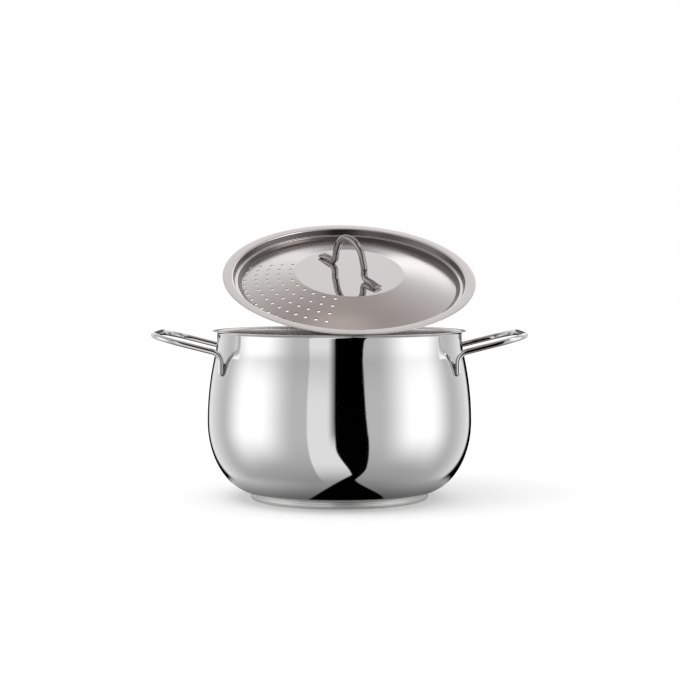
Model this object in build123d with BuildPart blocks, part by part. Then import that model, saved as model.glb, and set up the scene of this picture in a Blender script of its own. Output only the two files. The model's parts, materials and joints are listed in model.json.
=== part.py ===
from build123d import *
import os
from math import asin, atan2, cos, degrees, radians, sin, sqrt, tan

# A belly-shaped steel pasta pot with a loose strainer lid, in millimetres.
# The pot stands on z = 0 round the Z axis, its side handles point along X and its front is
# towards -Y.  The lid is drawn closed on the rim, then tipped open about its front edge.

# Pot: one deep-drawn sheet with a flat floor, an oval heel, a belly, a neck and a flared lip
wall = 0.8
rim_height = 152.4
neck_radius = 110.8
belly_bulge = 9.0
belly_height = 70.0
shoulder_share = 0.76
lip_reach = 3.8
curl_radius = 2.2
lip_round_share = 0.4

# Base: an aluminium disc under the floor, shut in by a pressed steel cap
floor_height = 6.0
base_radius = 80.8
flat_floor_share = 0.94
cap_sheet = 0.8
cap_band = 4.6
cap_edge = 1.6
seam_step = 0.9
seam_bevel = 0.5
seam_gap = 0.1
core_gap = 0.1

# Side handles: bent round rod, both legs welded to the shoulder of the pot
rod = 5.2
leg_spread = 54.5
weld_drop = 33.0
leg_tail = 4.0
weld_depth = 0.3
knee_drop = 18.6
knee_radius = 10.0
loop_reach = 61.0
loop_corner = 26.0
loop_rise = 14.2
rod_end_round = 0.6

# Lid: one pressed sheet with a flat brim, a stepped well, a crowned panel and a level crown disc
brim_inset = 0.6
lid_sheet = 0.8
rim_seat = 0.3
brim_width = 9.0
well_depth = 5.6
well_draft = 2.1
ledge_width = 1.9
groove_depth = 2.6
groove_draft = 3.6
crown_radius = 49.1
crown_height = 3.4
panel_bow = 0.75
brim_bend = 2.0
step_bend = 0.9
groove_bend = 1.5
bow_radius_share = 0.42
crown_bend = 4.0

# Strainer holes: rings of round holes over one sector of the panel
hole = 3.1
hole_rings = 5
first_ring_holes = 9
ring_gain = 2
crown_margin = 4.3
groove_margin = 3.0
sector_start = 168.0
sector_sweep = 93.0

# Lid handle: a rod bent to an arch, its two feet pressed flat and welded on the crown disc
arch_rod = 6.0
arch_height = 32.7
arch_azimuth = 132.0
arch_leg = 12.0
leg_radius = 14.0
foot_margin = 8.0
foot_bend = 20.8
foot_radius = 5.0
arch_top_share = 0.62
arch_round_share = 0.95
foot_press = 0.4
toe_length = 9.0
toe_width = 9.6
toe_thickness = 3.2

# Tipping: the lid leans on the front lip and turns there about a slightly slanting line
lid_lean = 25.4
tip_azimuth = 6.5
tip_dip = 9.0

# The pot's section follows from its sizes: two radii blend the belly into the upright neck
belly_radius = neck_radius + belly_bulge
floor_radius = base_radius * flat_floor_share
lip_radius = neck_radius + lip_reach
neck_height = rim_height - wall - curl_radius
shoulder_rise = neck_height - belly_height
blend_radius = (belly_bulge**2 + shoulder_rise**2) / (2 * belly_bulge)
shoulder_radius = blend_radius * shoulder_share
hollow_radius = blend_radius - shoulder_radius
shoulder_turn = degrees(asin(shoulder_rise / blend_radius))


def wall_radius(height):
    """The radius of the pot's outer skin at a height on its shoulder."""
    return belly_radius - shoulder_radius + sqrt(shoulder_radius**2 - (height - belly_height) ** 2)


def skin_line(depth):
    """The pot's section from the axis to the top of the neck, at a depth under the outer skin."""
    floor = Line((0, floor_height + depth), (floor_radius, floor_height + depth))
    EllipticalCenterArc(
        (floor_radius, belly_height),
        belly_radius - floor_radius - depth,
        belly_height - floor_height - depth,
        start_angle=270,
        arc_size=90,
    )
    CenterArc((belly_radius - shoulder_radius, belly_height), shoulder_radius - depth, 0, shoulder_turn)
    neck = CenterArc(
        (neck_radius + hollow_radius, neck_height), hollow_radius + depth, 180 + shoulder_turn, -shoulder_turn
    )
    return floor @ 0, neck @ 1


def lip_line(depth):
    """The lip's section, curled outwards from the top of the neck and then level to its edge."""
    curl = CenterArc((neck_radius + curl_radius, neck_height), curl_radius + depth, 180, -90)
    return Line(curl @ 1, (lip_radius, neck_height + curl_radius + depth)) @ 1


with BuildPart() as pot_body:
    with BuildSketch(Plane.XZ) as section:
        with BuildLine():
            outer_floor = skin_line(0)[0]
            inner_floor = skin_line(wall)[0]
            Line(outer_floor, inner_floor)
            Line(lip_line(0), lip_line(wall))
        make_face()
        fillet(section.vertices().group_by(Axis.X)[-1].sort_by(Axis.Y)[-2:], wall * lip_round_share)
    revolve(axis=Axis.Z)

# The solid form of the pot, filled up to its neck, trims what is welded on its outside
with BuildPart() as pot_form:
    with BuildSketch(Plane.XZ):
        with BuildLine():
            form_floor, form_neck = skin_line(0)
            Polyline(form_neck, (0, neck_height), form_floor)
        make_face()
    revolve(axis=Axis.Z)

# Base: the cap's collar reaches up under the heel, as high as the oval stands there
core_radius = base_radius - seam_step - cap_sheet
heel_share = (core_radius - floor_radius) / (belly_radius - floor_radius)
heel_height = belly_height - (belly_height - floor_height) * sqrt(1 - heel_share**2)
collar_top = heel_height - seam_gap

with BuildPart() as base_cap:
    with BuildSketch(Plane.XZ) as section:
        with BuildLine():
            Polyline(
                (0, 0),
                (base_radius, 0),
                (base_radius, cap_band),
                (base_radius - seam_step, cap_band + seam_bevel),
                (base_radius - seam_step, collar_top),
                (core_radius, collar_top),
                (core_radius, cap_sheet),
                (0, cap_sheet),
                close=True,
            )
        make_face()
        fillet(section.vertices().group_by(Axis.Y)[0].sort_by(Axis.X)[-1], cap_edge)
        fillet(section.vertices().group_by(Axis.Y)[1].sort_by(Axis.X)[-1], cap_edge - cap_sheet)
    revolve(axis=Axis.Z)

with BuildPart() as base_core:
    with BuildSketch(Plane.XY.offset(cap_sheet)):
        Circle(core_radius - core_gap)
    extrude(amount=floor_height - cap_sheet)
    fillet(base_core.edges().group_by(Axis.Z)[0], cap_edge - cap_sheet)

# Side handles: the legs stand on the shoulder, and their lower ends are pressed flat against it
weld_height = rim_height - weld_drop
leg_distance = wall_radius(weld_height) + rod / 2 - weld_depth
leg_reach = sqrt(leg_distance**2 - leg_spread**2)
leg_foot = weld_height - leg_tail
knee_height = rim_height - knee_drop
bar_reach = leg_reach + loop_reach
bar_height = knee_height + loop_reach * tan(radians(loop_rise))


def loop_handle(side):
    """One side handle, on the +X side or the -X side."""
    with BuildPart() as handle:
        with BuildLine() as rod_line:
            FilletPolyline(
                (side * leg_reach, -leg_spread, leg_foot),
                (side * leg_reach, -leg_spread, knee_height),
                (side * bar_reach, -leg_spread, bar_height),
                (side * bar_reach, leg_spread, bar_height),
                (side * leg_reach, leg_spread, knee_height),
                (side * leg_reach, leg_spread, leg_foot),
                radius=[knee_radius, loop_corner, loop_corner, knee_radius],
            )
        with BuildSketch(Plane(rod_line.line @ 0, z_dir=rod_line.line % 0)):
            Circle(rod / 2)
        sweep()
        chamfer(handle.edges().group_by(Axis.Z)[0], rod_end_round)
        add(pot_form.part, mode=Mode.SUBTRACT)
    return handle


right_handle = loop_handle(1)
left_handle = loop_handle(-1)

# Lid: its middle line runs from the brim's edge over the step, the groove and the panel
brim_height = rim_height + rim_seat + lid_sheet / 2
lid_radius = lip_radius - brim_inset
well_radius = lid_radius - brim_width
ledge_outer = well_radius - well_draft
ledge_inner = ledge_outer - ledge_width
groove_radius = ledge_inner - groove_draft
ledge_height = brim_height - well_depth
groove_height = ledge_height - groove_depth
disc_height = brim_height + crown_height
panel_run = groove_radius - crown_radius
panel_middle = (
    groove_radius - panel_run / 2,
    (groove_height + disc_height) / 2 + panel_bow,
)
panel_turn = atan2(panel_middle[1] - groove_height, panel_run / 2) - atan2(
    disc_height - panel_middle[1], panel_run / 2
)
bow_radius = bow_radius_share * panel_run / 2 / tan(panel_turn / 2)
first_ring = crown_radius + crown_margin
ring_pitch = (groove_radius - groove_margin - first_ring) / (hole_rings - 1)

with BuildPart() as closed_lid:
    with BuildSketch(Plane.XZ):
        with BuildLine():
            FilletPolyline(
                (lid_radius, brim_height),
                (well_radius, brim_height),
                (ledge_outer, ledge_height),
                (ledge_inner, ledge_height),
                (groove_radius, groove_height),
                panel_middle,
                (crown_radius, disc_height),
                (0, disc_height),
                radius=[brim_bend, step_bend, step_bend, groove_bend, bow_radius, crown_bend],
            )
        trace(line_width=lid_sheet)
    revolve(axis=Axis.Z)
    for ring in range(hole_rings):
        with PolarLocations(
            first_ring + ring * ring_pitch,
            first_ring_holes + ring * ring_gain,
            start_angle=sector_start,
            angular_range=sector_sweep,
            endpoint=True,
        ):
            Hole(hole / 2)

# Lid handle: drawn in the upright plane through the lid's axis, on the crown disc
disc_top = disc_height + lid_sheet / 2
foot_height = arch_rod / 2 - foot_press
foot_reach = crown_radius - foot_margin
arch_plane = Plane(
    (0, 0, disc_top),
    x_dir=(cos(radians(arch_azimuth)), sin(radians(arch_azimuth)), 0),
    z_dir=(sin(radians(arch_azimuth)), -cos(radians(arch_azimuth)), 0),
)
toe_start = foot_reach - toe_length
arch_top = foot_bend * arch_top_share
arch_slope = atan2(arch_height - arch_leg, foot_bend - arch_top)
arch_radius = arch_round_share * arch_top / tan(arch_slope / 2)

with BuildPart() as closed_lid_handle:
    with BuildLine(arch_plane) as arch:
        FilletPolyline(
            (-toe_start, foot_height),
            (-foot_bend, foot_height),
            (-foot_bend, arch_leg),
            (-arch_top, arch_height),
            (arch_top, arch_height),
            (foot_bend, arch_leg),
            (foot_bend, foot_height),
            (toe_start, foot_height),
            radius=[foot_radius, leg_radius, arch_radius, arch_radius, leg_radius, foot_radius],
        )
    with BuildSketch(Plane(arch.line @ 0, z_dir=arch.line % 0)):
        Circle(arch_rod / 2)
    sweep()
    for side in (-1, 1):
        foot_end = arch_plane.from_local_coords(Vector(side * toe_start, foot_height, 0))
        toe_end = arch_plane.from_local_coords(Vector(side * foot_reach, toe_thickness / 2, 0))
        with BuildSketch(Plane(foot_end, x_dir=arch_plane.z_dir, z_dir=arch_plane.x_dir * side)):
            Circle(arch_rod / 2)
        with BuildSketch(Plane(toe_end, x_dir=arch_plane.z_dir, z_dir=arch_plane.x_dir * side)):
            Ellipse(toe_width / 2, toe_thickness / 2)
        loft()
    split(bisect_by=Plane.XY.offset(disc_top), keep=Keep.TOP)

# The lid and its handle turn together about the point where the brim's edge meets the front lip
tip_axis = Axis(
    (
        lid_radius * sin(radians(tip_azimuth)),
        -lid_radius * cos(radians(tip_azimuth)),
        rim_height + rim_seat,
    ),
    (
        cos(radians(tip_azimuth)) * cos(radians(tip_dip)),
        sin(radians(tip_azimuth)) * cos(radians(tip_dip)),
        -sin(radians(tip_dip)),
    ),
)

with BuildPart() as lid:
    add(closed_lid.part.rotate(tip_axis, lid_lean))

with BuildPart() as lid_handle:
    add(closed_lid_handle.part.rotate(tip_axis, lid_lean))

pot_body.part.label = "pot_body"
base_core.part.label = "base_core"
base_cap.part.label = "base_cap"
left_handle.part.label = "left_handle"
right_handle.part.label = "right_handle"
lid.part.label = "lid"
lid_handle.part.label = "lid_handle"

os.makedirs("parts", exist_ok=True)
export_step(pot_body.part, "parts/pot_body.step")
export_step(base_core.part, "parts/base_core.step")
export_step(base_cap.part, "parts/base_cap.step")
export_step(left_handle.part, "parts/left_handle.step")
export_step(right_handle.part, "parts/right_handle.step")
export_step(lid.part, "parts/lid.step")
export_step(lid_handle.part, "parts/lid_handle.step")
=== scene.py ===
import json
from math import asin, atan2, cos, degrees, pi, radians, sin, sqrt, tan

import bpy
import numpy as np
from mathutils import Matrix, Vector


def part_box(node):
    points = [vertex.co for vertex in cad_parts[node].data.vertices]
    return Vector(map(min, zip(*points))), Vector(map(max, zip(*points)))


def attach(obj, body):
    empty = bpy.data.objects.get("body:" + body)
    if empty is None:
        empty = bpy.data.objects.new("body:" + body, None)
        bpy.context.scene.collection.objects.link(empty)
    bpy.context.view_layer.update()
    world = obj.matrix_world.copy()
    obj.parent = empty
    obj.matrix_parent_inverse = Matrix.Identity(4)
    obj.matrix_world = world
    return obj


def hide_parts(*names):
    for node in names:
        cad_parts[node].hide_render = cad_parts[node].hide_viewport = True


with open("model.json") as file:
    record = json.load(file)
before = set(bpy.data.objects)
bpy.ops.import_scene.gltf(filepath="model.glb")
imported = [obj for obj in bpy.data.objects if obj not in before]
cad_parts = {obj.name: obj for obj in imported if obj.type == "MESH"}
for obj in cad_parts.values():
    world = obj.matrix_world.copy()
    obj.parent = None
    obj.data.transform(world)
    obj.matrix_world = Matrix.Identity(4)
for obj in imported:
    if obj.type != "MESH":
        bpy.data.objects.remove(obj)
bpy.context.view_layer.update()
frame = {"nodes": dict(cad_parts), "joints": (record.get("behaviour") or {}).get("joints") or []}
scene = bpy.context.scene
scene.view_settings.view_transform = "Standard"

# The camera stands where the photograph was taken from: 1.49 m in front of the pot, a little
# above its rim and looking slightly down.  The focal length is given in pixels of a square frame.
picture_width = 680
focal_pixels = 1639.1
camera_place = (0.0005, -1.48955, 0.2117)
camera_drop = radians(2.625)

camera = bpy.data.objects.new("camera", bpy.data.cameras.new("camera"))
camera.data.sensor_width = 36.0
camera.data.lens = focal_pixels / picture_width * camera.data.sensor_width
camera.data.clip_start = 0.01
camera.location = camera_place
camera.rotation_euler = (radians(90) - camera_drop, 0, 0)
scene.collection.objects.link(camera)
scene.camera = camera

# The pot is one sheet of steel, drawn to a flat floor, an oval heel, a belly and an upright neck,
# with its lip rolled outwards and level.  It is mirror-polished outside and satin inside.
sheet = 0.0008
floor_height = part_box("pot_body")[0].z
rim_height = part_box("pot_body")[1].z
belly_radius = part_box("pot_body")[1].x
base_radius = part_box("base_cap")[1].x
belly_bulge = 0.009
belly_height = 0.070
shoulder_share = 0.76
lip_reach = 0.0038
curl_radius = 0.0022
flat_floor_share = 0.94
heel_steps = 32
shoulder_steps = 14
hollow_steps = 6
curl_steps = 10
edge_steps = 8
pot_steps = 320
crease = radians(40)
neck_radius = belly_radius - belly_bulge
lip_radius = neck_radius + lip_reach
floor_radius = base_radius * flat_floor_share
neck_height = rim_height - sheet - curl_radius
shoulder_rise = neck_height - belly_height
blend_radius = (belly_bulge**2 + shoulder_rise**2) / (2 * belly_bulge)
shoulder_radius = blend_radius * shoulder_share
hollow_radius = blend_radius - shoulder_radius
shoulder_turn = degrees(asin(shoulder_rise / blend_radius))


def arc(centre, radii, first, last, steps):
    """Points on an oval arc: the centre plus the radii times the cosine and sine of an angle."""
    angle = np.radians(np.linspace(first, last, steps + 1))
    return np.stack([centre[0] + radii[0] * np.cos(angle), centre[1] + radii[1] * np.sin(angle)], 1)


def joined(*runs, apart=1e-7):
    """One line through the points of several, without the points that repeat."""
    points = np.concatenate([np.asarray(run, float).reshape(-1, 2) for run in runs])
    step = np.linalg.norm(np.diff(points, axis=0), axis=1)
    return points[np.concatenate([[True], step > apart])]


def turned(profile, steps):
    """A profile of (radius, height) turned round the Z axis: x is r cos a and y is r sin a.

    The profile starts and ends on the axis, where two fans of triangles close it."""
    rings = profile[1:-1]
    angle = np.arange(steps) * (2 * pi / steps)
    x = rings[:, :1] * np.cos(angle)
    y = rings[:, :1] * np.sin(angle)
    z = np.repeat(rings[:, 1:], steps, axis=1)
    poles = [[0, 0, profile[0, 1]], [0, 0, profile[-1, 1]]]
    points = np.concatenate([np.stack([x, y, z], 2).reshape(-1, 3), poles])
    return points, ring_faces(len(rings), steps)


def ring_faces(rings, around):
    """Quads between rings of points, and a fan from each end ring to a pole after the last ring."""
    here = np.arange(around)
    there = (here + 1) % around
    row = np.arange(rings - 1)[:, None] * around
    quads = np.stack([row + here, row + there, row + around + there, row + around + here], 2)
    last = (rings - 1) * around
    first_pole = np.full(around, rings * around)
    fans = [[first_pole, there, here], [first_pole + 1, last + here, last + there]]
    fans = np.concatenate([np.stack(fan, 1) for fan in fans])
    return quads.reshape(-1, 4).tolist() + fans.tolist()


def new_piece(name, points, faces, body, nodes, slot):
    """A smooth mesh piece that rides on a body and may replace CAD nodes; its slot is not used."""
    mesh = bpy.data.meshes.new(name)
    mesh.from_pydata(points.tolist(), [], faces)
    mesh.shade_smooth()
    mesh.set_sharp_from_angle(angle=crease)
    piece = bpy.data.objects.new(name, mesh)
    scene.collection.objects.link(piece)
    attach(piece, body)
    if nodes:
        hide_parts(*nodes)
    return piece


def skin(depth, fineness):
    """The pot's section at a depth under its outer skin, from the axis to the top of the neck."""
    heel = (belly_radius - floor_radius - depth, belly_height - floor_height - depth)
    shoulder = (belly_radius - shoulder_radius, belly_height)
    hollow = (neck_radius + hollow_radius, neck_height)
    return joined(
        (0, floor_height + depth),
        (floor_radius / 2, floor_height + depth),
        arc((floor_radius, belly_height), heel, 270, 360, heel_steps * fineness),
        arc(shoulder, (shoulder_radius - depth,) * 2, 0, shoulder_turn, shoulder_steps * fineness),
        arc(hollow, (hollow_radius + depth,) * 2, 180 + shoulder_turn, 180, hollow_steps * fineness),
    )


def lip(depth):
    """The lip at a depth, from the top of the neck round its curl and out to near its edge."""
    centre = (neck_radius + curl_radius, neck_height)
    curl = arc(centre, (curl_radius + depth,) * 2, 180, 90, curl_steps)
    return joined(curl, (lip_radius - sheet / 2, neck_height + curl_radius + depth))


lip_middle = (lip_radius - sheet / 2, rim_height - sheet / 2)
lip_edge = arc(lip_middle, (sheet / 2,) * 2, -90, 90, edge_steps)
outside = joined(skin(0, 2), lip(0), lip_edge)
pot_section = joined(outside, lip(sheet)[::-1], skin(sheet, 1)[::-1])
pot = new_piece("pot_shell", *turned(pot_section, pot_steps), "pot", ["pot_body"], "polished_steel")


class Socket:
    """One output of a shader node; sums and products with it add the Math nodes they need."""

    def __init__(self, tree, out):
        self.tree = tree
        self.out = out

    def node(self, kind, settings=(), **inputs):
        """Adds a node, with its settings set first and then the values or links of its sockets.

        A socket goes by its name in small letters, or by its place after an underscore."""
        new = self.tree.nodes.new(kind)
        for name, value in dict(settings).items():
            setattr(new, name, value)
        for name, value in inputs.items():
            wanted = name.replace("_", " ").strip().lower()
            if wanted.isdigit():
                socket = new.inputs[int(wanted)]
            else:
                socket = next(s for s in new.inputs if s.name.lower() == wanted and s.enabled)
            if isinstance(value, Socket):
                self.tree.links.new(value.out, socket)
            else:
                socket.default_value = value
        shown = [out for out in new.outputs if out.enabled]
        return Socket(self.tree, shown[0] if shown else None)

    def output(self, name):
        """Another output of the same node."""
        return Socket(self.tree, self.out.node.outputs[name])

    def math(self, operation, other=0.0):
        """A Math node on this output and another one or a number."""
        return self.node("ShaderNodeMath", {"operation": operation}, _0=self, _1=other)

    def __add__(self, other):
        return self.math("ADD", other)

    __radd__ = __add__

    def __mul__(self, other):
        return self.math("MULTIPLY", other)

    __rmul__ = __mul__

    def __sub__(self, other):
        return self.math("SUBTRACT", other)

    def __rsub__(self, other):
        return self * -1 + other

    def __truediv__(self, other):
        return self.math("DIVIDE", other)

    def __neg__(self):
        return self * -1

    def __abs__(self):
        return self.math("ABSOLUTE")

    def rise(self, low, high):
        """0 below low and 1 above high, with a smooth step between them."""
        settings = {"interpolation_type": "SMOOTHSTEP"}
        return self.node("ShaderNodeMapRange", settings, value=self, from_min=low, from_max=high)

    def window(self, low, high, edge):
        """1 between low and high, 0 outside, with soft edges of the given width."""
        half = edge / 2
        return self.rise(low - half, low + half) * (1 - self.rise(high - half, high + half))

    def blend(self, other, share):
        """This value where share is 0 and the other one where it is 1."""
        return self + (other - self) * share


def new_material(name, make, **sizes):
    """A material whose shader is what make returns for the start of its tree and the sizes."""
    material = bpy.data.materials.new(name)
    material.use_nodes = True
    material.node_tree.nodes.clear()
    start = Socket(material.node_tree, None)
    start.node("ShaderNodeOutputMaterial", surface=make(start, **sizes))
    return material


def polished_steel(start, colour, roughness, smears):
    """A mirror finish with faint wiping marks, a few centimetres across, in its gloss."""
    place = start.node("ShaderNodeTexCoord").output("Object")
    wiped = start.node("ShaderNodeTexNoise", vector=place, scale=38.0, detail=4.0)
    marks = wiped.rise(low=0.5, high=0.75)
    return start.node(
        "ShaderNodeBsdfPrincipled",
        base_color=colour,
        metallic=1.0,
        roughness=roughness + smears * marks,
    )


def turned_steel(start, colour, roughness, line, depth, tilt=(0, 0, 0), centre=(0, 0, 0), metal=1.0):
    """Satin steel with fine rings round an axis, as a wide brush leaves on a turning piece.

    The height of the lines is noise on the distance from the axis and along it.  The gloss
    varies a little in broader rings and from patch to patch."""
    steady = 0.8
    sway = 0.2
    place = start.node("ShaderNodeTexCoord").output("Object")
    place = start.node("ShaderNodeMapping", vector=place, location=centre, rotation=tilt)
    split = start.node("ShaderNodeSeparateXYZ", vector=place)
    x, y, z = split.output("X"), split.output("Y"), split.output("Z")
    radius = (x * x + y * y).math("SQRT")
    rings = start.node("ShaderNodeCombineXYZ", x=radius / line, y=z / line, z=0.0)
    lines = start.node("ShaderNodeTexNoise", vector=rings, scale=1.0, detail=2.0)
    bands = start.node("ShaderNodeTexNoise", vector=rings, scale=0.12, detail=2.0)
    patch = start.node("ShaderNodeTexNoise", vector=place, scale=25.0, detail=3.0)
    bump = start.node("ShaderNodeBump", strength=0.03, distance=depth, height=lines)
    return start.node(
        "ShaderNodeBsdfPrincipled",
        base_color=colour,
        metallic=metal,
        roughness=roughness * (steady + sway * patch + sway * bands),
        normal=bump,
    )


inside_colour = (0.70, 0.68, 0.665, 1)
mirror_colour = (0.82, 0.82, 0.82, 1)
pot.data.materials.append(
    new_material("pot_outside", polished_steel, colour=mirror_colour, roughness=0.04, smears=0.02)
)
pot.data.materials.append(
    new_material(
        "pot_inside",
        turned_steel,
        colour=inside_colour,
        roughness=0.27,
        line=0.0006,
        depth=0.00002,
    )
)

# The faces come ring by ring from under the floor, over the lip and back inside, and then the two
# fans: first the one under the floor, then the one on it.
outside_faces = (len(outside) - 2) * pot_steps
ring_end = (len(pot_section) - 3) * pot_steps
inside_index = np.zeros(len(pot.data.polygons), int)
inside_index[outside_faces:ring_end] = 1
inside_index[-pot_steps:] = 1
pot.data.polygons.foreach_set("material_index", inside_index)

# The base is a pressed steel cap that holds the heat-spreading disc under the floor: a rounded
# foot, a plain band, and above its seam a collar that is brazed to the heel.
cap_band = 0.0046
cap_edge = 0.0016
seam_step = 0.0009
seam_bevel = 0.0005
foot_steps = 10
bevel_steps = 6
cap_steps = 256
cap_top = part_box("base_cap")[1].z
collar_radius = base_radius - seam_step
cap_section = joined(
    (0, 0),
    (base_radius / 2, 0),
    arc((base_radius - cap_edge, cap_edge), (cap_edge,) * 2, -90, 0, foot_steps),
    arc((base_radius - seam_bevel, cap_band - seam_bevel), (seam_bevel,) * 2, 0, 90, bevel_steps),
    (collar_radius, cap_band),
    (collar_radius, cap_top),
    (collar_radius - sheet, cap_top),
    (collar_radius - sheet, sheet),
    (0, sheet),
)
cap = new_piece("base_shell", *turned(cap_section, cap_steps), "pot", ["base_cap"], "cap_steel")
cap_colour = (0.92, 0.92, 0.91, 1)
cap.data.materials.append(
    new_material(
        "cap_steel",
        turned_steel,
        colour=cap_colour,
        roughness=0.3,
        line=0.0005,
        depth=0.00002,
        metal=0.6,
    )
)

# The disc in the cap is one thick round of aluminium, cut from rolled sheet and brazed to the
# floor, so that the whole floor heats evenly.  Its solid stays and gets the look of bare metal.


def rolled_aluminium(start):
    """Plain sheet aluminium with an even grain in its gloss."""
    smoothest = 0.35
    grain_gain = 0.1
    place = start.node("ShaderNodeTexCoord").output("Object")
    grain = start.node("ShaderNodeTexNoise", vector=place, scale=400.0)
    return start.node(
        "ShaderNodeBsdfPrincipled",
        base_color=(0.80, 0.80, 0.82, 1),
        metallic=1.0,
        roughness=smoothest + grain_gain * grain,
    )


core_slots = frame["nodes"]["base_core"].data.materials
core_slots.clear()
core_slots.append(new_material("core_aluminium", rolled_aluminium))

# Each side handle is one length of polished rod: up from its weld, out over the knee, round two
# corners and back.  Its legs stand against the shoulder of the pot, flattened where they touch.
rod = 0.0052
leg_spread = 0.0545
weld_drop = 0.033
leg_tail = 0.004
weld_depth = 0.0003
knee_drop = 0.0186
knee_radius = 0.010
loop_reach = 0.061
loop_corner = 0.026
loop_rise = radians(14.2)
rod_end_round = 0.0006
rod_sides = 28
end_steps = 6
rod_run = 0.004
level = 1e-6


def wall_radius(height):
    """The radius of the pot's outer skin at a height on its shoulder."""
    return belly_radius - shoulder_radius + np.sqrt(shoulder_radius**2 - (height - belly_height) ** 2)


def rounded_path(corners, radii, run_step, arc_steps=14):
    """Points along straight runs joined by tangent arcs, with one radius for each inner corner.

    An arc of radius r in a turn of angle a starts r tan(a/2) before its corner.  Its points are
    that start plus r sin s along the first run and r (1 - cos s) square to it, for s up to a."""
    corners = np.asarray(corners, float)
    runs = [corners[:1]]
    for before, here, after, radius in zip(corners, corners[1:], corners[2:], radii):
        along = (here - before) / np.linalg.norm(here - before)
        onward = (after - here) / np.linalg.norm(after - here)
        turn = np.arccos(along @ onward)
        inward = onward - (onward @ along) * along
        inward /= np.linalg.norm(inward)
        swept = np.linspace(0, turn, arc_steps + 1)[:, None]
        first = here - along * radius * tan(turn / 2)
        bend = first + radius * (along * np.sin(swept) + inward * (1 - np.cos(swept)))
        runs += [straight_run(runs[-1][-1], bend[0], run_step), bend]
    runs += [straight_run(runs[-1][-1], corners[-1], run_step), corners[-1:]]
    return np.concatenate(runs)


def straight_run(first, last, step):
    """The inner points of a straight run, at most a step apart."""
    count = int(np.linalg.norm(last - first) / step)
    share = np.arange(1, count + 1)[:, None] / (count + 1)
    return first + (last - first) * share


def directions(path):
    """The unit direction of a path at each of its points."""
    along = np.gradient(path, axis=0)
    return along / np.linalg.norm(along, axis=1)[:, None]


def tube(path, width, height, up, around):
    """A closed tube: each ring is a point of the path, plus half the width times the cosine of an
    angle to its side and half the height times the sine of it upwards."""
    along = directions(path)
    side = np.cross(np.broadcast_to(up, path.shape), along)
    side /= np.linalg.norm(side, axis=1)[:, None]
    raised = np.cross(along, side)
    angle = np.arange(around) * (2 * pi / around)
    half_width = np.broadcast_to(width, len(path))[:, None, None] / 2
    half_height = np.broadcast_to(height, len(path))[:, None, None] / 2
    rings = path[:, None] + side[:, None] * half_width * np.cos(angle)[:, None]
    rings = rings + raised[:, None] * half_height * np.sin(angle)[:, None]
    points = np.concatenate([rings.reshape(-1, 3), path[:1], path[-1:]])
    return points, ring_faces(len(path), around)


def eased_ends(path, edge):
    """The path with end_steps more points at each end, and how far each ring there is drawn in, so
    that the tube's ends come round on a quarter circle of the edge's radius."""
    swept = np.radians(np.linspace(0, 90, end_steps + 1))[:, None]
    lead = edge * (1 - np.cos(swept))
    along = directions(path)
    first_end = path[0] + along[0] * lead
    last_end = (path[-1] - along[-1] * lead)[::-1]
    path = np.concatenate([first_end, path[1:-1], last_end])
    eased = edge * (1 - np.sin(swept[:, 0]))
    drawn_in = np.concatenate([eased, np.zeros(len(path) - 2 * len(eased)), eased[::-1]])
    return path, drawn_in


weld_height = rim_height - weld_drop
leg_distance = wall_radius(weld_height) + rod / 2 - weld_depth
leg_reach = sqrt(leg_distance**2 - leg_spread**2)
leg_foot = weld_height - leg_tail
knee_height = rim_height - knee_drop
bar_reach = leg_reach + loop_reach
bar_height = knee_height + loop_reach * tan(loop_rise)
loop_path = rounded_path(
    [
        (leg_reach, -leg_spread, leg_foot),
        (leg_reach, -leg_spread, knee_height),
        (bar_reach, -leg_spread, bar_height),
        (bar_reach, leg_spread, bar_height),
        (leg_reach, leg_spread, knee_height),
        (leg_reach, leg_spread, leg_foot),
    ],
    [knee_radius, loop_corner, loop_corner, knee_radius],
    rod_run,
)
loop_path, loop_inset = eased_ends(loop_path, rod_end_round)

# Along a leg, where the rod has no part sideways, the tube's up lies in the leg's upright plane.
# Round the rest of the loop it stands square to the loop's slope.
loop_along = directions(loop_path)
upright = np.abs(loop_along[:, 1:2]) < level
leg_up = np.stack([-loop_along[:, 2], np.zeros(len(loop_path)), loop_along[:, 0]], 1)
leg_up = leg_up * -np.sign(loop_path[:, 1:2])
loop_up = np.where(upright, leg_up, (-sin(loop_rise), 0, cos(loop_rise)))
loop_size = rod - 2 * loop_inset
loop_points, loop_faces = tube(loop_path, loop_size, loop_size, loop_up, rod_sides)


def outside_wall(points):
    """The points, with any that lie deeper than the weld in the wall's skin moved out to it."""
    away = np.hypot(points[:, 0], points[:, 1])
    skin_there = wall_radius(np.clip(points[:, 2], belly_height, knee_height)) - weld_depth
    share = np.maximum(away, skin_there) / away
    return points * np.stack([share, share, np.ones(len(points))], 1)


loop_points = outside_wall(loop_points)
flipped = np.array([-1, 1, 1])
turned_over = [face[::-1] for face in loop_faces]
handle_pieces = [
    new_piece("right_loop", loop_points, loop_faces, "pot", ["right_handle"], "rod_steel"),
    new_piece("left_loop", loop_points * flipped, turned_over, "pot", ["left_handle"], "rod_steel"),
]
rod_steel = new_material("rod_steel", polished_steel, colour=mirror_colour, roughness=0.05, smears=0.04)
for piece in handle_pieces:
    piece.data.materials.append(rod_steel)
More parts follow.
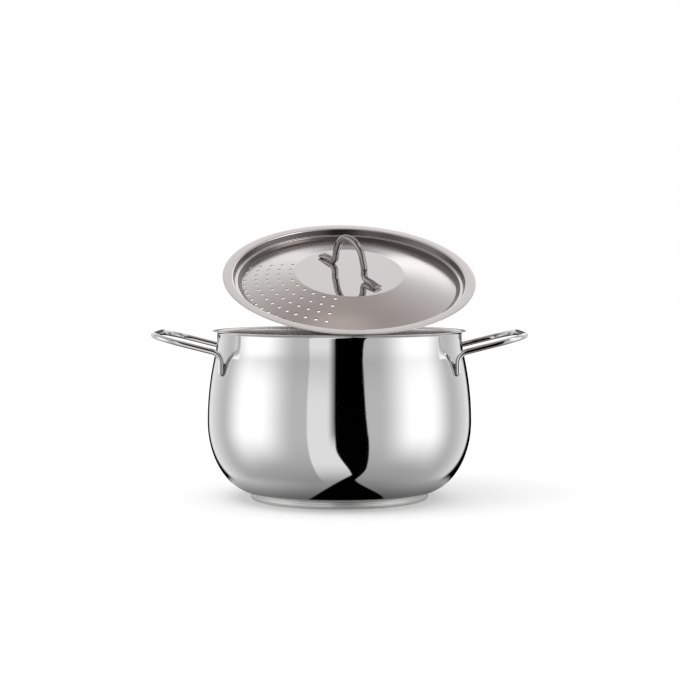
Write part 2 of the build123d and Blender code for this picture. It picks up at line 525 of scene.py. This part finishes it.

# A run of weld holds each leg, down one side, round its end and up the other side.  It lies on
# the shoulder as a small rippled bead, painted dark as painted shade where the leg meets the shoulder.
bead = 0.0022
bead_gap = 0.0016
bead_height = 0.010
ripples = 34
ripple_share = 0.13
bead_corner = bead_gap * 0.9
bead_run = 0.0004
bead_sides = 10
bead_tip = 0.02
bead_bluntness = 12
bead_path = rounded_path(
    [
        (-bead_gap, leg_foot + bead_height),
        (-bead_gap, leg_foot - bead / 4),
        (bead_gap, leg_foot - bead / 4),
        (bead_gap, leg_foot + bead_height),
    ],
    [bead_corner, bead_corner],
    bead_run,
)


def weld_bead(x_side, y_side):
    """The bead's flat route of (across, height) laid on the pot's shoulder beside one leg."""
    radius = wall_radius(bead_path[:, 1])
    azimuth = atan2(y_side * leg_spread, x_side * leg_reach) + bead_path[:, 0] / radius
    path = np.stack([radius * np.cos(azimuth), radius * np.sin(azimuth), bead_path[:, 1]], 1)
    share = np.linspace(0, 1, len(path))
    ripple = 1 + ripple_share * np.cos(share * ripples * 2 * pi)
    ends = np.sqrt(np.clip(1 - (2 * share - 1) ** bead_bluntness, bead_tip, 1))
    size = bead * ripple * ends
    points, faces = tube(path, size, size, path * (1, 1, 0), bead_sides)
    return outside_wall(points), faces


def weld_painted_shade(start):
    """Rough steel painted dark as painted shade round the leg's foot, grainy in its height and in its
    gloss.
    """
    smoothest = 0.25
    grain_gain = 0.2
    place = start.node("ShaderNodeTexCoord").output("Object")
    grain = start.node("ShaderNodeTexNoise", vector=place, scale=900.0, detail=3.0)
    bump = start.node("ShaderNodeBump", strength=0.4, distance=0.0001, height=grain)
    return start.node(
        "ShaderNodeBsdfPrincipled",
        base_color=(0.17, 0.155, 0.15, 1),
        metallic=1.0,
        roughness=smoothest + grain_gain * grain,
        normal=bump,
    )


weld_material = new_material("weld_painted_shade", weld_painted_shade)
sides = {"right_front": (1, -1), "right_back": (1, 1), "left_front": (-1, -1), "left_back": (-1, 1)}
for name, (x_side, y_side) in sides.items():
    piece = new_piece(name + "_weld", *weld_bead(x_side, y_side), "pot", [], "rod_steel")
    piece.data.materials.append(weld_material)

# The lid is one pressed sheet, drawn here closed on the rim and then turned about its hinge to
# where it leans: a flat brim, a stepped well, a crowned panel and a level crown disc.
brim_inset = 0.0006
rim_seat = 0.0003
brim_width = 0.009
well_depth = 0.0056
well_draft = 0.0021
ledge_width = 0.0019
groove_depth = 0.0026
groove_draft = 0.0036
crown_radius = 0.0491
crown_height = 0.0034
panel_bow = 0.00075
brim_bend = 0.002
step_bend = 0.0009
groove_bend = 0.0015
bow_radius_share = 0.42
crown_bend = 0.004
ledge_shine = 0.001
lid_run = 0.003
lid_arc_steps = 10
lid_steps = 288
brim_height = rim_height + rim_seat + sheet / 2
lid_radius = lip_radius - brim_inset
well_radius = lid_radius - brim_width
ledge_outer = well_radius - well_draft
ledge_inner = ledge_outer - ledge_width
groove_radius = ledge_inner - groove_draft
ledge_height = brim_height - well_depth
groove_height = ledge_height - groove_depth
disc_height = brim_height + crown_height
panel_run = groove_radius - crown_radius
panel_middle = (groove_radius - panel_run / 2, (groove_height + disc_height) / 2 + panel_bow)
panel_turn = atan2(panel_middle[1] - groove_height, panel_run / 2) - atan2(
    disc_height - panel_middle[1], panel_run / 2
)
bow_radius = bow_radius_share * panel_run / 2 / tan(panel_turn / 2)
lid_line = rounded_path(
    [
        (lid_radius - sheet / 2, brim_height),
        (well_radius, brim_height),
        (ledge_outer, ledge_height),
        (ledge_inner, ledge_height),
        (groove_radius, groove_height),
        panel_middle,
        (crown_radius, disc_height),
        (crown_radius / 2, disc_height),
    ],
    [brim_bend, step_bend, step_bend, groove_bend, bow_radius, crown_bend],
    lid_run,
    lid_arc_steps,
)
lid_along = directions(lid_line)
lid_square = np.stack([lid_along[:, 1], -lid_along[:, 0]], 1)
brim_edge = arc((lid_radius - sheet / 2, brim_height), (sheet / 2,) * 2, -90, 90, edge_steps)
lid_section = joined(
    (0, disc_height - sheet / 2),
    (lid_line - lid_square * sheet / 2)[::-1],
    brim_edge,
    lid_line + lid_square * sheet / 2,
    (0, disc_height + sheet / 2),
)
lid_piece = new_piece("lid_shell", *turned(lid_section, lid_steps), "lid", ["lid"], "lid_steel")

# Water drains through rings of small round holes over one sector of the panel.  They are punched
# through the sheet, and here one cut makes them all.
hole = 0.0031
hole_rings = 5
first_ring_holes = 9
ring_gain = 2
crown_margin = 0.0043
groove_margin = 0.003
sector_start = 168
sector_sweep = 93
first_ring = crown_radius + crown_margin
ring_pitch = (groove_radius - groove_margin - first_ring) / (hole_rings - 1)
punch_sides = 24
punch_reach = 0.01
punch_angle = np.arange(punch_sides) * (2 * pi / punch_sides)
places = []
for ring in range(hole_rings):
    holes = first_ring_holes + ring * ring_gain
    azimuth = np.radians(sector_start + np.linspace(0, sector_sweep, holes))
    radius = first_ring + ring * ring_pitch
    places.append(radius * np.stack([np.cos(azimuth), np.sin(azimuth)], 1))
places = np.concatenate(places)
circle = hole / 2 * np.stack([np.cos(punch_angle), np.sin(punch_angle)], 1)
rims = (places[:, None] + circle).reshape(-1, punch_sides, 2)
low_end = np.full((len(places), punch_sides, 1), groove_height - punch_reach)
high_end = np.full((len(places), punch_sides, 1), disc_height + punch_reach)
low = np.concatenate([rims, low_end], 2)
high = np.concatenate([rims, high_end], 2)
punch_points = np.stack([low, high], 1).reshape(-1, 3)
base = np.arange(len(places))[:, None] * 2 * punch_sides
here = np.arange(punch_sides)
there = (here + 1) % punch_sides
walls = np.stack([base + here, base + there, base + punch_sides + there, base + punch_sides + here], 2)
punch_faces = walls.reshape(-1, 4).tolist() + (base + here[::-1]).tolist()
punch_faces += (base + punch_sides + here).tolist()
punch_mesh = bpy.data.meshes.new("punch")
punch_mesh.from_pydata(punch_points.tolist(), [], punch_faces)
punch = bpy.data.objects.new("punch", punch_mesh)
scene.collection.objects.link(punch)
cut = lid_piece.modifiers.new("holes", "BOOLEAN")
cut.operation = "DIFFERENCE"
cut.object = punch
cut.solver = "EXACT"
pierced = bpy.data.meshes.new_from_object(
    lid_piece.evaluated_get(bpy.context.evaluated_depsgraph_get())
)
lid_piece.modifiers.clear()
lid_piece.data = pierced
bpy.data.objects.remove(punch)
pierced.set_sharp_from_angle(angle=crease)

# The lid's brim and panel are brushed in rings and its crown disc is polished.  Its ledge is painted
# bright as a painted highlight, and the wall above the ledge and the groove below it are painted a
# dark grey as painted shade.  Underneath it is brushed all over.  Faces are sorted by their place on
# the closed lid, and a finish changes at a bend.
satin, wall, crown, groove, ledge = range(5)
into_bend = 1 / 4
count = len(pierced.polygons)
middle = np.empty(count * 3)
facing = np.empty(count * 3)
pierced.polygons.foreach_get("center", middle)
pierced.polygons.foreach_get("normal", facing)
middle = middle.reshape(-1, 3)
away = np.hypot(middle[:, 0], middle[:, 1])
on_top = facing.reshape(-1, 3)[:, 2] > 0
finish = np.full(count, satin)
finish[on_top & (away < well_radius - brim_bend * into_bend)] = wall
finish[on_top & (away < ledge_outer - step_bend * into_bend)] = ledge
finish[on_top & (away < ledge_inner - ledge_shine)] = groove
finish[on_top & (away < groove_radius - groove_bend)] = satin
finish[on_top & (away < crown_radius - crown_bend * into_bend)] = crown

# At rest the lid leans back from closed by as much as its joint can close it.
tip = frame["joints"][0]
tip_axis = Vector(tip["axis"])
tip_place = Vector(tip["pos_m"])
lean = Matrix.Rotation(radians(-tip["range_deg"][0]), 4, tip_axis)
lean = Matrix.Translation(tip_place) @ lean @ Matrix.Translation(-tip_place)


def leaned(points):
    """Points of the closed lid where the lid leans at rest."""
    turn = np.array(lean)
    return points @ turn[:3, :3].T + turn[:3, 3]


flat = np.empty(len(pierced.vertices) * 3)
pierced.vertices.foreach_get("co", flat)
pierced.vertices.foreach_set("co", leaned(flat.reshape(-1, 3)).ravel())
pierced.update()
closed = lean.inverted()
turned_lid = {"tilt": tuple(closed.to_euler()), "centre": tuple(closed.to_translation())}
lid_colour = (0.80, 0.765, 0.755, 1)
# The wall and groove colours are painted shade and the ledge colour is a painted highlight, all on the
# same steel.
wall_painted_shade_colour = (0.15, 0.135, 0.13, 1)
crown_colour = (0.80, 0.78, 0.775, 1)
groove_painted_shade_colour = (0.16, 0.145, 0.14, 1)
ledge_painted_highlight_colour = (0.95, 0.93, 0.92, 1)
brushed = {"line": 0.0006, "depth": 0.00002, **turned_lid}
pressed = {"line": 0.0008, "depth": 0.00001, **turned_lid}
lid_finishes_and_painted_light = [
    new_material("lid_satin", turned_steel, colour=lid_colour, roughness=0.2, **brushed),
    new_material("lid_wall_painted_shade", turned_steel, colour=wall_painted_shade_colour, roughness=0.26, **pressed),
    new_material("lid_crown", polished_steel, colour=crown_colour, roughness=0.02, smears=0.02),
    new_material("lid_groove_painted_shade", turned_steel, colour=groove_painted_shade_colour, roughness=0.24, **pressed),
    new_material("lid_ledge_painted_highlight", polished_steel, colour=ledge_painted_highlight_colour, roughness=0.18, smears=0.02),
]
pierced.materials.clear()
for material in lid_finishes_and_painted_light:
    pierced.materials.append(material)
pierced.polygons.foreach_set("material_index", finish)

# The lid's handle is one rod bent to an arch.  Its two feet turn outwards, are pressed flat and
# are spot-welded on the crown disc.
arch_rod = 0.006
arch_height = 0.0327
arch_azimuth = radians(132)
arch_leg = 0.012
leg_radius = 0.014
foot_margin = 0.008
foot_bend = 0.0208
foot_radius = 0.005
arch_top_share = 0.62
arch_round_share = 0.95
foot_press = 0.0004
toe_length = 0.009
toe_width = 0.0096
toe_thickness = 0.0032
toe_round = 0.0008
toe_steps = 13
arch_run = 0.002
arch_sides = 32
disc_top = disc_height + sheet / 2
foot_height = arch_rod / 2 - foot_press
foot_reach = crown_radius - foot_margin
toe_start = foot_reach - toe_length
arch_top = foot_bend * arch_top_share
arch_slope = atan2(arch_height - arch_leg, foot_bend - arch_top)
arch_radius = arch_round_share * arch_top / tan(arch_slope / 2)
arch_line = rounded_path(
    [
        (-toe_start, foot_height),
        (-foot_bend, foot_height),
        (-foot_bend, arch_leg),
        (-arch_top, arch_height),
        (arch_top, arch_height),
        (foot_bend, arch_leg),
        (foot_bend, foot_height),
        (toe_start, foot_height),
    ],
    [foot_radius, leg_radius, arch_radius, arch_radius, leg_radius, foot_radius],
    arch_run,
)
toe_reach = np.linspace(foot_reach, toe_start, toe_steps + 1)[:-1]
toe_share = (toe_reach - toe_start) / toe_length
toe_line = np.stack([toe_reach, foot_height + (toe_thickness / 2 - foot_height) * toe_share], 1)
arch_line = np.concatenate([toe_line * (-1, 1), arch_line, toe_line[::-1]])
press = np.clip((np.abs(arch_line[:, 0]) - toe_start) / toe_length, 0, 1)
arch_way = np.array([cos(arch_azimuth), sin(arch_azimuth), 0])
arch_path = arch_line[:, :1] * arch_way + (0, 0, disc_top) + arch_line[:, 1:] * (0, 0, 1)
arch_path, arch_inset = eased_ends(arch_path, toe_round)
press = np.concatenate([np.ones(end_steps), press, np.ones(end_steps)])
arch_width = arch_rod + (toe_width - arch_rod) * press - 2 * arch_inset
arch_tall = arch_rod + (toe_thickness - arch_rod) * press - 2 * arch_inset
arch_side = np.array([sin(arch_azimuth), -cos(arch_azimuth), 0])
arch_up = np.cross(directions(arch_path), arch_side)
arch_points, arch_faces = tube(arch_path, arch_width, arch_tall, arch_up, arch_sides)
arch = new_piece("lid_arch", leaned(arch_points), arch_faces, "lid", ["lid_handle"], "rod_steel")
# The arch is painted darker than the other polished steel, as painted shade for the dark it mirrors.
arch_painted_shade_colour = (0.36, 0.335, 0.325, 1)
arch.data.materials.append(
    new_material("arch_painted_shade_steel", polished_steel, colour=arch_painted_shade_colour, roughness=0.03, smears=0.03)
)

# The studio is white all round for the eye.  What polished metal mirrors is a grey room with a
# broad soft box on each side, a lit panel left of the camera and a dark gap beside it.  A turn
# is counted from the camera's side to the right, and a height up from the horizon, in degrees.
sky = bpy.data.worlds.new("studio")
sky.use_nodes = True
scene.world = sky
sky.node_tree.nodes.clear()
start = Socket(sky.node_tree, None)
split = start.node("ShaderNodeSeparateXYZ", vector=start.node("ShaderNodeTexCoord"))
side_way, back_way, up_way = split.output("X"), split.output("Y"), split.output("Z")
turn = side_way.math("ARCTAN2", -back_way).math("DEGREES")
height = up_way.math("ARCSINE").math("DEGREES")
around = abs(turn)
on_right = turn.rise(-5, 5)
below = -height.math("MINIMUM", 0.0)

# The room is darkest underfoot, lightest at eye level and a little darker towards its ceiling.
# Behind the pot it is lighter, and straight overhead there is a small lamp.
room_low = 0.25
room_gain = 0.30
ceiling_loss = 0.10
back_low = 0.35
back_gain = 0.25
overhead_level = 0.22
room = room_low + room_gain * height.rise(-90, -5)
room = room - ceiling_loss * height.rise(5, 30) - ceiling_loss * height.rise(50, 80)
behind = around.rise(112, 160) * (back_low + back_gain * around.rise(150, 178))
behind = behind * (1 - height.rise(25, 78))
overhead = overhead_level * height.rise(77, 82)

# The soft boxes stand evenly about a line just left of the camera's, and the left one is dimmer
# above.  A side lamp lights the lid's right, and a narrow bright one the left of its well.
box_level = 0.72
box_middle = -2.5
left_box_loss = 0.5
side_lamp_level = 0.35
strip_lamp_level = 1.8
aside = abs(turn - box_middle)
soft_box = aside.rise(36, 72) * (1 - aside.rise(85, 119))
soft_box = soft_box * height.rise(-44, -4) * (1 - height.rise(2, 60))
soft_box = soft_box * (1 - left_box_loss * height.rise(8, 24) * (1 - on_right))
side_lamp = turn.window(120, 174, edge=14) * height.window(22, 44, edge=12)
strip_lamp = turn.window(50, 84, edge=8) * height.window(46, 66, edge=8)

# The panel is dimmer at its top and its foot, and fades out behind the gap, save near the ceiling.
panel_full = 0.86
panel_top_loss = 0.22
panel_foot = 0.4
panel_fade = 0.85
panel = turn.window(-27.6, 20, edge=1.5)
fade = panel_fade * turn.rise(-11, -3) * height.rise(-25, 0) * (1 - height.rise(42, 57))
panel_level = (panel_full - panel_top_loss * height.rise(4, 26)) * (1 - fade)
panel_level = panel_level * (panel_foot + (1 - panel_foot) * height.rise(-74, -36))

# The gap in front is black and upright.  Both its sides lean a little to the right with the depth
# under the horizon, and low down the left one bends far to the right and the right one back.
gap_from = -3.9
gap_to = 21.7
gap_edge = 0.7
left_lean = 0.03
left_bend = 23
right_lean = 0.12
right_step = 2
right_bend = 9
gap_left = gap_from + left_lean * below + left_bend * below.rise(20, 72)
gap_right = gap_to + right_lean * below + right_step * (1 - height.rise(-12, 12))
gap_right = gap_right - right_bend * below.rise(45, 72)
front_gap = (turn - gap_left).rise(-gap_edge, gap_edge)
front_gap = front_gap * (1 - (turn - gap_right).rise(-gap_edge, gap_edge))
front_gap = front_gap * (1 - height.rise(30, 50))

# Behind, a black gap draws the pot's outline and widens downwards, more so on the right.  Three
# grey shades lie above it, under the back of the room and on the ceiling over the camera.
gap_widening = 8
right_widening = 3
right_shift = 4
shade_shift = 5
shade_depth = 0.85
ceiling_depth = 0.6
under_depth = 0.8
rear_widening = (gap_widening + right_widening * on_right) * below.rise(3, 38)
rear_gap = (around + rear_widening + right_shift * on_right).rise(154, 161)
rear_gap = rear_gap * height.window(-85, 6, edge=8)
rear_shade = (around + shade_shift * on_right).rise(171, 179) * height.window(4, 30, edge=5)
under_shade = around.rise(95, 125) * (1 - height.rise(-62, -45))
ceiling_shade = turn.window(-36, 24, edge=10) * height.window(36, 84, edge=10)
mirrored = room + soft_box * box_level + side_lamp * side_lamp_level + strip_lamp * strip_lamp_level
mirrored = (mirrored + behind).blend(panel_level, panel) + overhead
mirrored = mirrored * (1 - front_gap) * (1 - rear_gap) * (1 - shade_depth * rear_shade)
mirrored = mirrored * (1 - ceiling_depth * ceiling_shade) * (1 - under_depth * under_shade)

# Metal sees that room, a little pink towards its ceiling, all other light rays an even white one,
# and the camera plain white.
lamp_level = 0.85
white = (1, 1, 1, 1)
pink = (1, 0.90, 0.86, 1)
path = start.node("ShaderNodeLightPath")
seen = path.output("Is Glossy Ray").math("MAXIMUM", path.output("Is Transmission Ray"))
strength = mirrored.blend(lamp_level, 1 - seen).blend(1.0, path.output("Is Camera Ray"))
warmth = height.rise(45, 80) * seen
tone = start.node("ShaderNodeMix", {"data_type": "RGBA"}, factor=warmth, a=white, b=pink)
light = start.node("ShaderNodeBackground", color=tone, strength=strength)
start.node("ShaderNodeOutputWorld", surface=light)
sky.cycles.sampling_method = "NONE"

# A broad soft lamp from above and the left gives the floor its shadow.  It doesn't show in the
# polished steel.
lamp = bpy.data.objects.new("top_lamp", bpy.data.lights.new("top_lamp", "AREA"))
lamp.data.shape = "DISK"
lamp.data.size = 1.2
lamp.data.energy = 6.0
lamp.location = (-0.6, -0.4, 1.8)
lamp.rotation_euler = (Vector(lamp.location) * -1).to_track_quat("-Z", "Y").to_euler()
lamp.visible_glossy = False
scene.collection.objects.link(lamp)

# The floor is a plain pale sheet that keeps the pot's soft shadow.  In the polished heel it shows
# only close to the pot, where painted shade makes it dark round the base and black in a wedge towards
# the camera.
floor_half = 6
corners = [(-floor_half, -floor_half, 0), (floor_half, -floor_half, 0)]
corners += [(floor_half, floor_half, 0), (-floor_half, floor_half, 0)]
floor_mesh = bpy.data.meshes.new("floor")
floor_mesh.from_pydata(corners, [], [(0, 1, 2, 3)])
floor = bpy.data.objects.new("floor", floor_mesh)
scene.collection.objects.link(floor)


def pale_sheet_painted_shade(start):
    """Matt white to the eye, and to polished steel a dark patch of painted shade round the pot's foot.

    The painted shade gets lighter outwards and to the sides, and is a little darker on the right.  The
    black wedge of painted shade is broadest at the foot: outwards, its left side turns in proportion
    to the distance from the axis and its right side swings in, until they meet."""
    place = start.node("ShaderNodeTexCoord").output("Object")
    split = start.node("ShaderNodeSeparateXYZ", vector=place)
    x, y = split.output("X"), split.output("Y")
    radius = (x * x + y * y).math("SQRT")
    turn = x.math("ARCTAN2", -y).math("DEGREES")
    cloth = start.node("ShaderNodeBsdfDiffuse", color=(0.88, 0.88, 0.88, 1))
    near_glow = 0.24
    far_gain = 0.08
    glow = near_glow + far_gain * radius.rise(0.2, 0.9)
    glow = start.node("ShaderNodeEmission", color=glow)
    lit = start.node("ShaderNodeAddShader", _0=cloth, _1=glow)
    wedge_start = 0.0815
    wedge_foot = 0.083
    wedge_edge = 1.0
    left_turn = -19.6
    left_spread = 510
    right_turn = 29.6
    right_swing = 21
    wedge_left = left_turn + left_spread * (radius - wedge_foot)
    wedge_right = right_turn - right_swing * radius.rise(0.078, 0.128)
    wedge = (turn - wedge_left).rise(-wedge_edge, wedge_edge)
    wedge = wedge * (1 - (turn - wedge_right).rise(-wedge_edge, wedge_edge))
    wedge = wedge * radius.rise(wedge_start, wedge_foot)
    # The grey patch and the black wedge are painted shade, seen only by glossy rays.
    darkest = 0.20
    outer_gain = 0.36
    front_share = 0.6
    right_loss = 0.25
    grey = darkest + outer_gain * radius.rise(wedge_foot, 0.120)
    grey = grey * (front_share + (1 - front_share) * abs(turn).rise(8, 60))
    grey = grey * (1 - right_loss * turn.rise(-10, 20))
    shade = start.node("ShaderNodeEmission", color=grey)
    clear = start.node("ShaderNodeBsdfTransparent", color=(1, 1, 1, 1))
    black = start.node("ShaderNodeEmission", color=(0, 0, 0, 1))
    near = 1 - radius.rise(0.108, 0.128)
    dark = start.node("ShaderNodeMixShader", _0=near, _1=clear, _2=shade)
    dark = start.node("ShaderNodeMixShader", _0=wedge, _1=dark, _2=black)
    glossy = start.node("ShaderNodeLightPath").output("Is Glossy Ray")
    return start.node("ShaderNodeMixShader", _0=glossy, _1=lit, _2=dark)


floor_mesh.materials.append(new_material("pale_sheet_painted_shade", pale_sheet_painted_shade))
